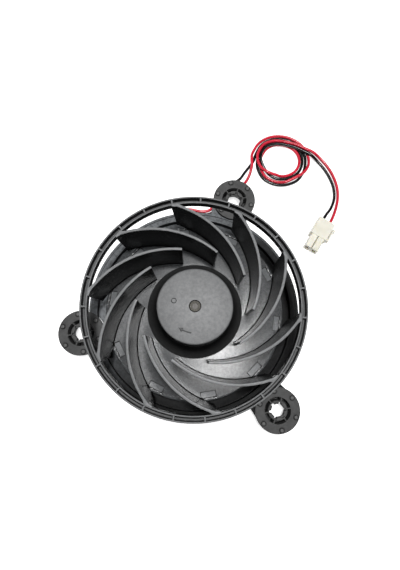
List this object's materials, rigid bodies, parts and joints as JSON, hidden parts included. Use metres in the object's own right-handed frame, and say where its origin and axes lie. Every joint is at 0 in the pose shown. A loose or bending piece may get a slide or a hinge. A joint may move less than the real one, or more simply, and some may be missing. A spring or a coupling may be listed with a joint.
{
  "type": "refrigerator fan",
  "caption": "Centrifugal refrigerator fan: backward-curved impeller with ribbed ring on a brushless motor, round dish on rubber-damped ears, red and black lead with connector.",
  "frame": {"origin": "on the rotor axis, at the flat back face of the foot under the motor", "axes": "+Z along the rotor axis towards the open front, +Y towards the top damper and the lead, +X to the right seen from the front"},
  "size_m": [0.1735, 0.1843, 0.0385],
  "materials": {
    "frame_plastic": "fine moulded grain",
    "damper_rubber": "matt moulded rubber",
    "brass": "turned",
    "bearing_bronze": "sintered, oil filled",
    "white_nylon": "moulded",
    "board_green": "solder resist",
    "chip_black": "moulded package",
    "capacitor_tan": "chip ceramic",
    "core_steel": "stacked laminations",
    "copper_winding": "enamelled copper wire",
    "lead_red": "smooth insulation",
    "lead_black": "smooth insulation",
    "connector_ivory": "moulded nylon",
    "terminal_brass": "tinned brass",
    "shaft_steel": "ground or plated",
    "insert_alloy": "dull cast alloy",
    "magnet_grey": "bonded ferrite",
    "impeller_plastic": "fine moulded grain with a soft sheen"
  },
  "bodies": {
    "frame": {"frame_dish": "frame_plastic", "ear_top": "frame_plastic", "ear_left": "frame_plastic", "ear_right": "frame_plastic", "damper_top": "damper_rubber", "damper_left": "damper_rubber", "damper_right": "damper_rubber", "bearing_tube": "brass", "lower_bearing": "bearing_bronze", "upper_bearing": "bearing_bronze", "thrust_pad": "white_nylon", "lower_insulator": "white_nylon", "upper_insulator": "white_nylon", "circuit_board": "board_green", "hall_sensor": "chip_black", "driver_chip": "chip_black", "board_capacitor": "capacitor_tan", "stator_core": "core_steel", "stator_coils": "copper_winding", "inner_red_lead": "lead_red", "red_lead": "lead_red", "inner_black_lead": "lead_black", "black_lead": "lead_black", "connector_housing": "connector_ivory", "connector_terminals": "terminal_brass"},
    "rotor": {"shaft": "shaft_steel", "retaining_clip": "shaft_steel", "spacer_washer": "white_nylon", "shaft_insert": "insert_alloy", "rotor_yoke": "shaft_steel", "rotor_magnet": "magnet_grey", "impeller_hub": "impeller_plastic", "impeller_backplate": "impeller_plastic", "impeller_blades": "impeller_plastic", "impeller_ring": "impeller_plastic"}
  },
  "joints": [
    {"name": "impeller_spin", "type": "hinge", "parent": "frame", "child": "rotor", "pos_m": [0, 0, 0], "axis": [0, 0, 1], "continuous": true}
  ]
}
